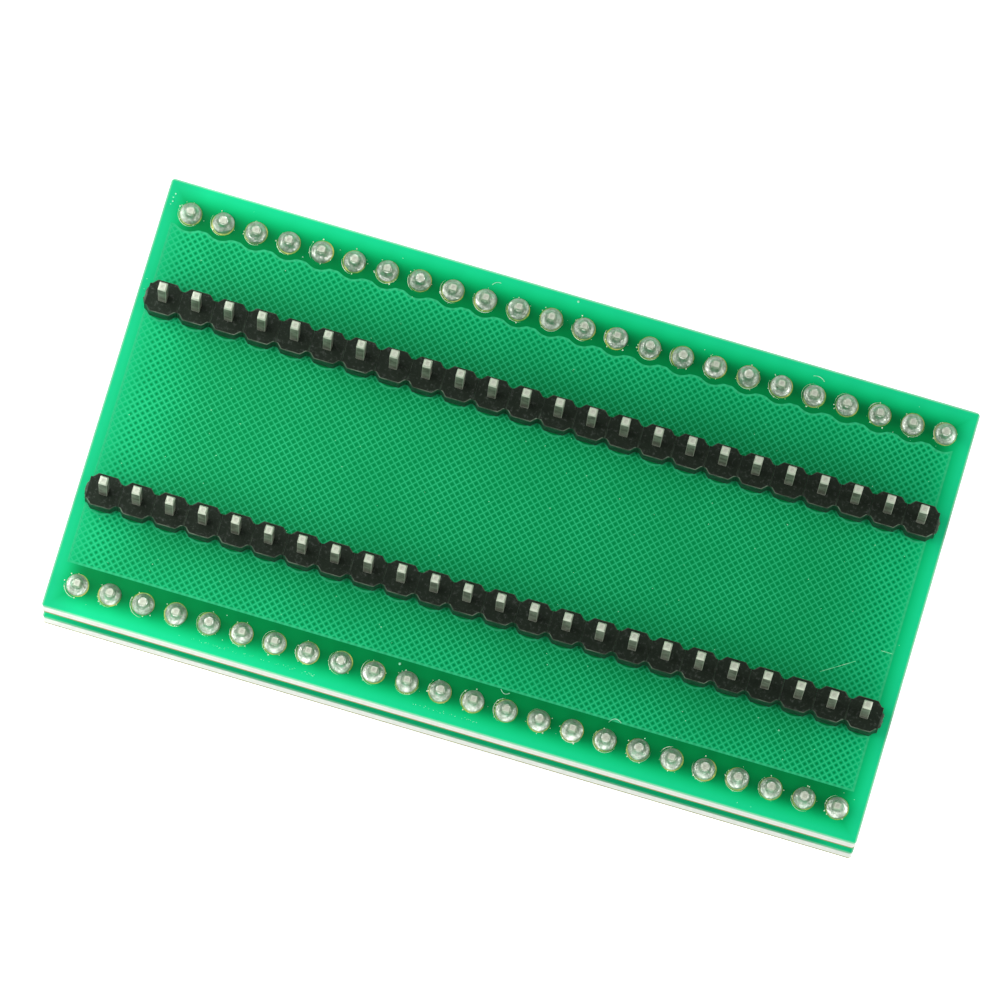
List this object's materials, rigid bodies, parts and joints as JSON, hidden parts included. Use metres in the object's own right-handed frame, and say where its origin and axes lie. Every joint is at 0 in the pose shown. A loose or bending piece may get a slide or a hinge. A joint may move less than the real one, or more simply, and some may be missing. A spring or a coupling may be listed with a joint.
{
  "type": "ic socket adapter",
  "caption": "Stacked-board adapter that carries a thin two-sided chip in an open-top press socket and plugs into a wide dual-row programmer socket.",
  "frame": {"origin": "middle of the press cover's outer face, on the plane that the part lies on, under the middle of the boards", "axes": "+X along the pin rows, +Y across them, +Z from the chip socket to the plug pins, so the part lies on its socket with its pins up"},
  "size_m": [0.0626, 0.0338, 0.0243],
  "materials": {
    "board_mask": "glossy green solder mask on glass-fibre board",
    "header_plastic": "matte black moulding",
    "tinned_pin": "tin-plated square pin",
    "solder": "satin solder",
    "socket_plastic": "matte black glass-filled moulding",
    "cover_plastic": "matte dark grey moulding",
    "spring_steel": "bright spring wire",
    "contact_gold": "thin gold plating"
  },
  "bodies": {
    "boards": {"pin_board": "board_mask", "socket_board": "board_mask", "dip_strip_a": "header_plastic", "dip_strip_b": "header_plastic", "link_strip_a": "header_plastic", "link_strip_b": "header_plastic", "dip_pins_a": "tinned_pin", "dip_pins_b": "tinned_pin", "link_pins_a": "tinned_pin", "link_pins_b": "tinned_pin", "pin_board_solder_a": "solder", "pin_board_solder_b": "solder", "socket_base": "socket_plastic", "chip_seat": "socket_plastic", "cover_spring_1": "spring_steel", "cover_spring_2": "spring_steel", "cover_spring_3": "spring_steel", "cover_spring_4": "spring_steel", "contact_feet_right": "contact_gold", "contact_feet_left": "contact_gold"},
    "cover": {"socket_cover": "cover_plastic"},
    "arms_right": {"contact_arms_right": "contact_gold"},
    "arms_left": {"contact_arms_left": "contact_gold"}
  },
  "joints": [
    {"name": "cover_press", "type": "slide", "parent": "boards", "child": "cover", "axis": [0, 0, 1], "range_m": [0, 0.0025], "stiffness_N_per_m": 2500, "springref_m": -0.003, "deforming": ["cover_spring_1", "cover_spring_2", "cover_spring_3", "cover_spring_4"]},
    {"name": "right_arms_open", "type": "hinge", "parent": "boards", "child": "arms_right", "pos_m": [0.0115, 0, 0.0089], "axis": [0, -1, 0], "range_deg": [0, 25]},
    {"name": "left_arms_open", "type": "hinge", "parent": "boards", "child": "arms_left", "pos_m": [-0.0115, 0, 0.0089], "axis": [0, 1, 0], "range_deg": [0, 25]}
  ],
  "couplings": [
    {"joint": "right_arms_open", "follows": "cover_press", "rad_per_m": 174.5},
    {"joint": "left_arms_open", "follows": "cover_press", "rad_per_m": 174.5}
  ]
}
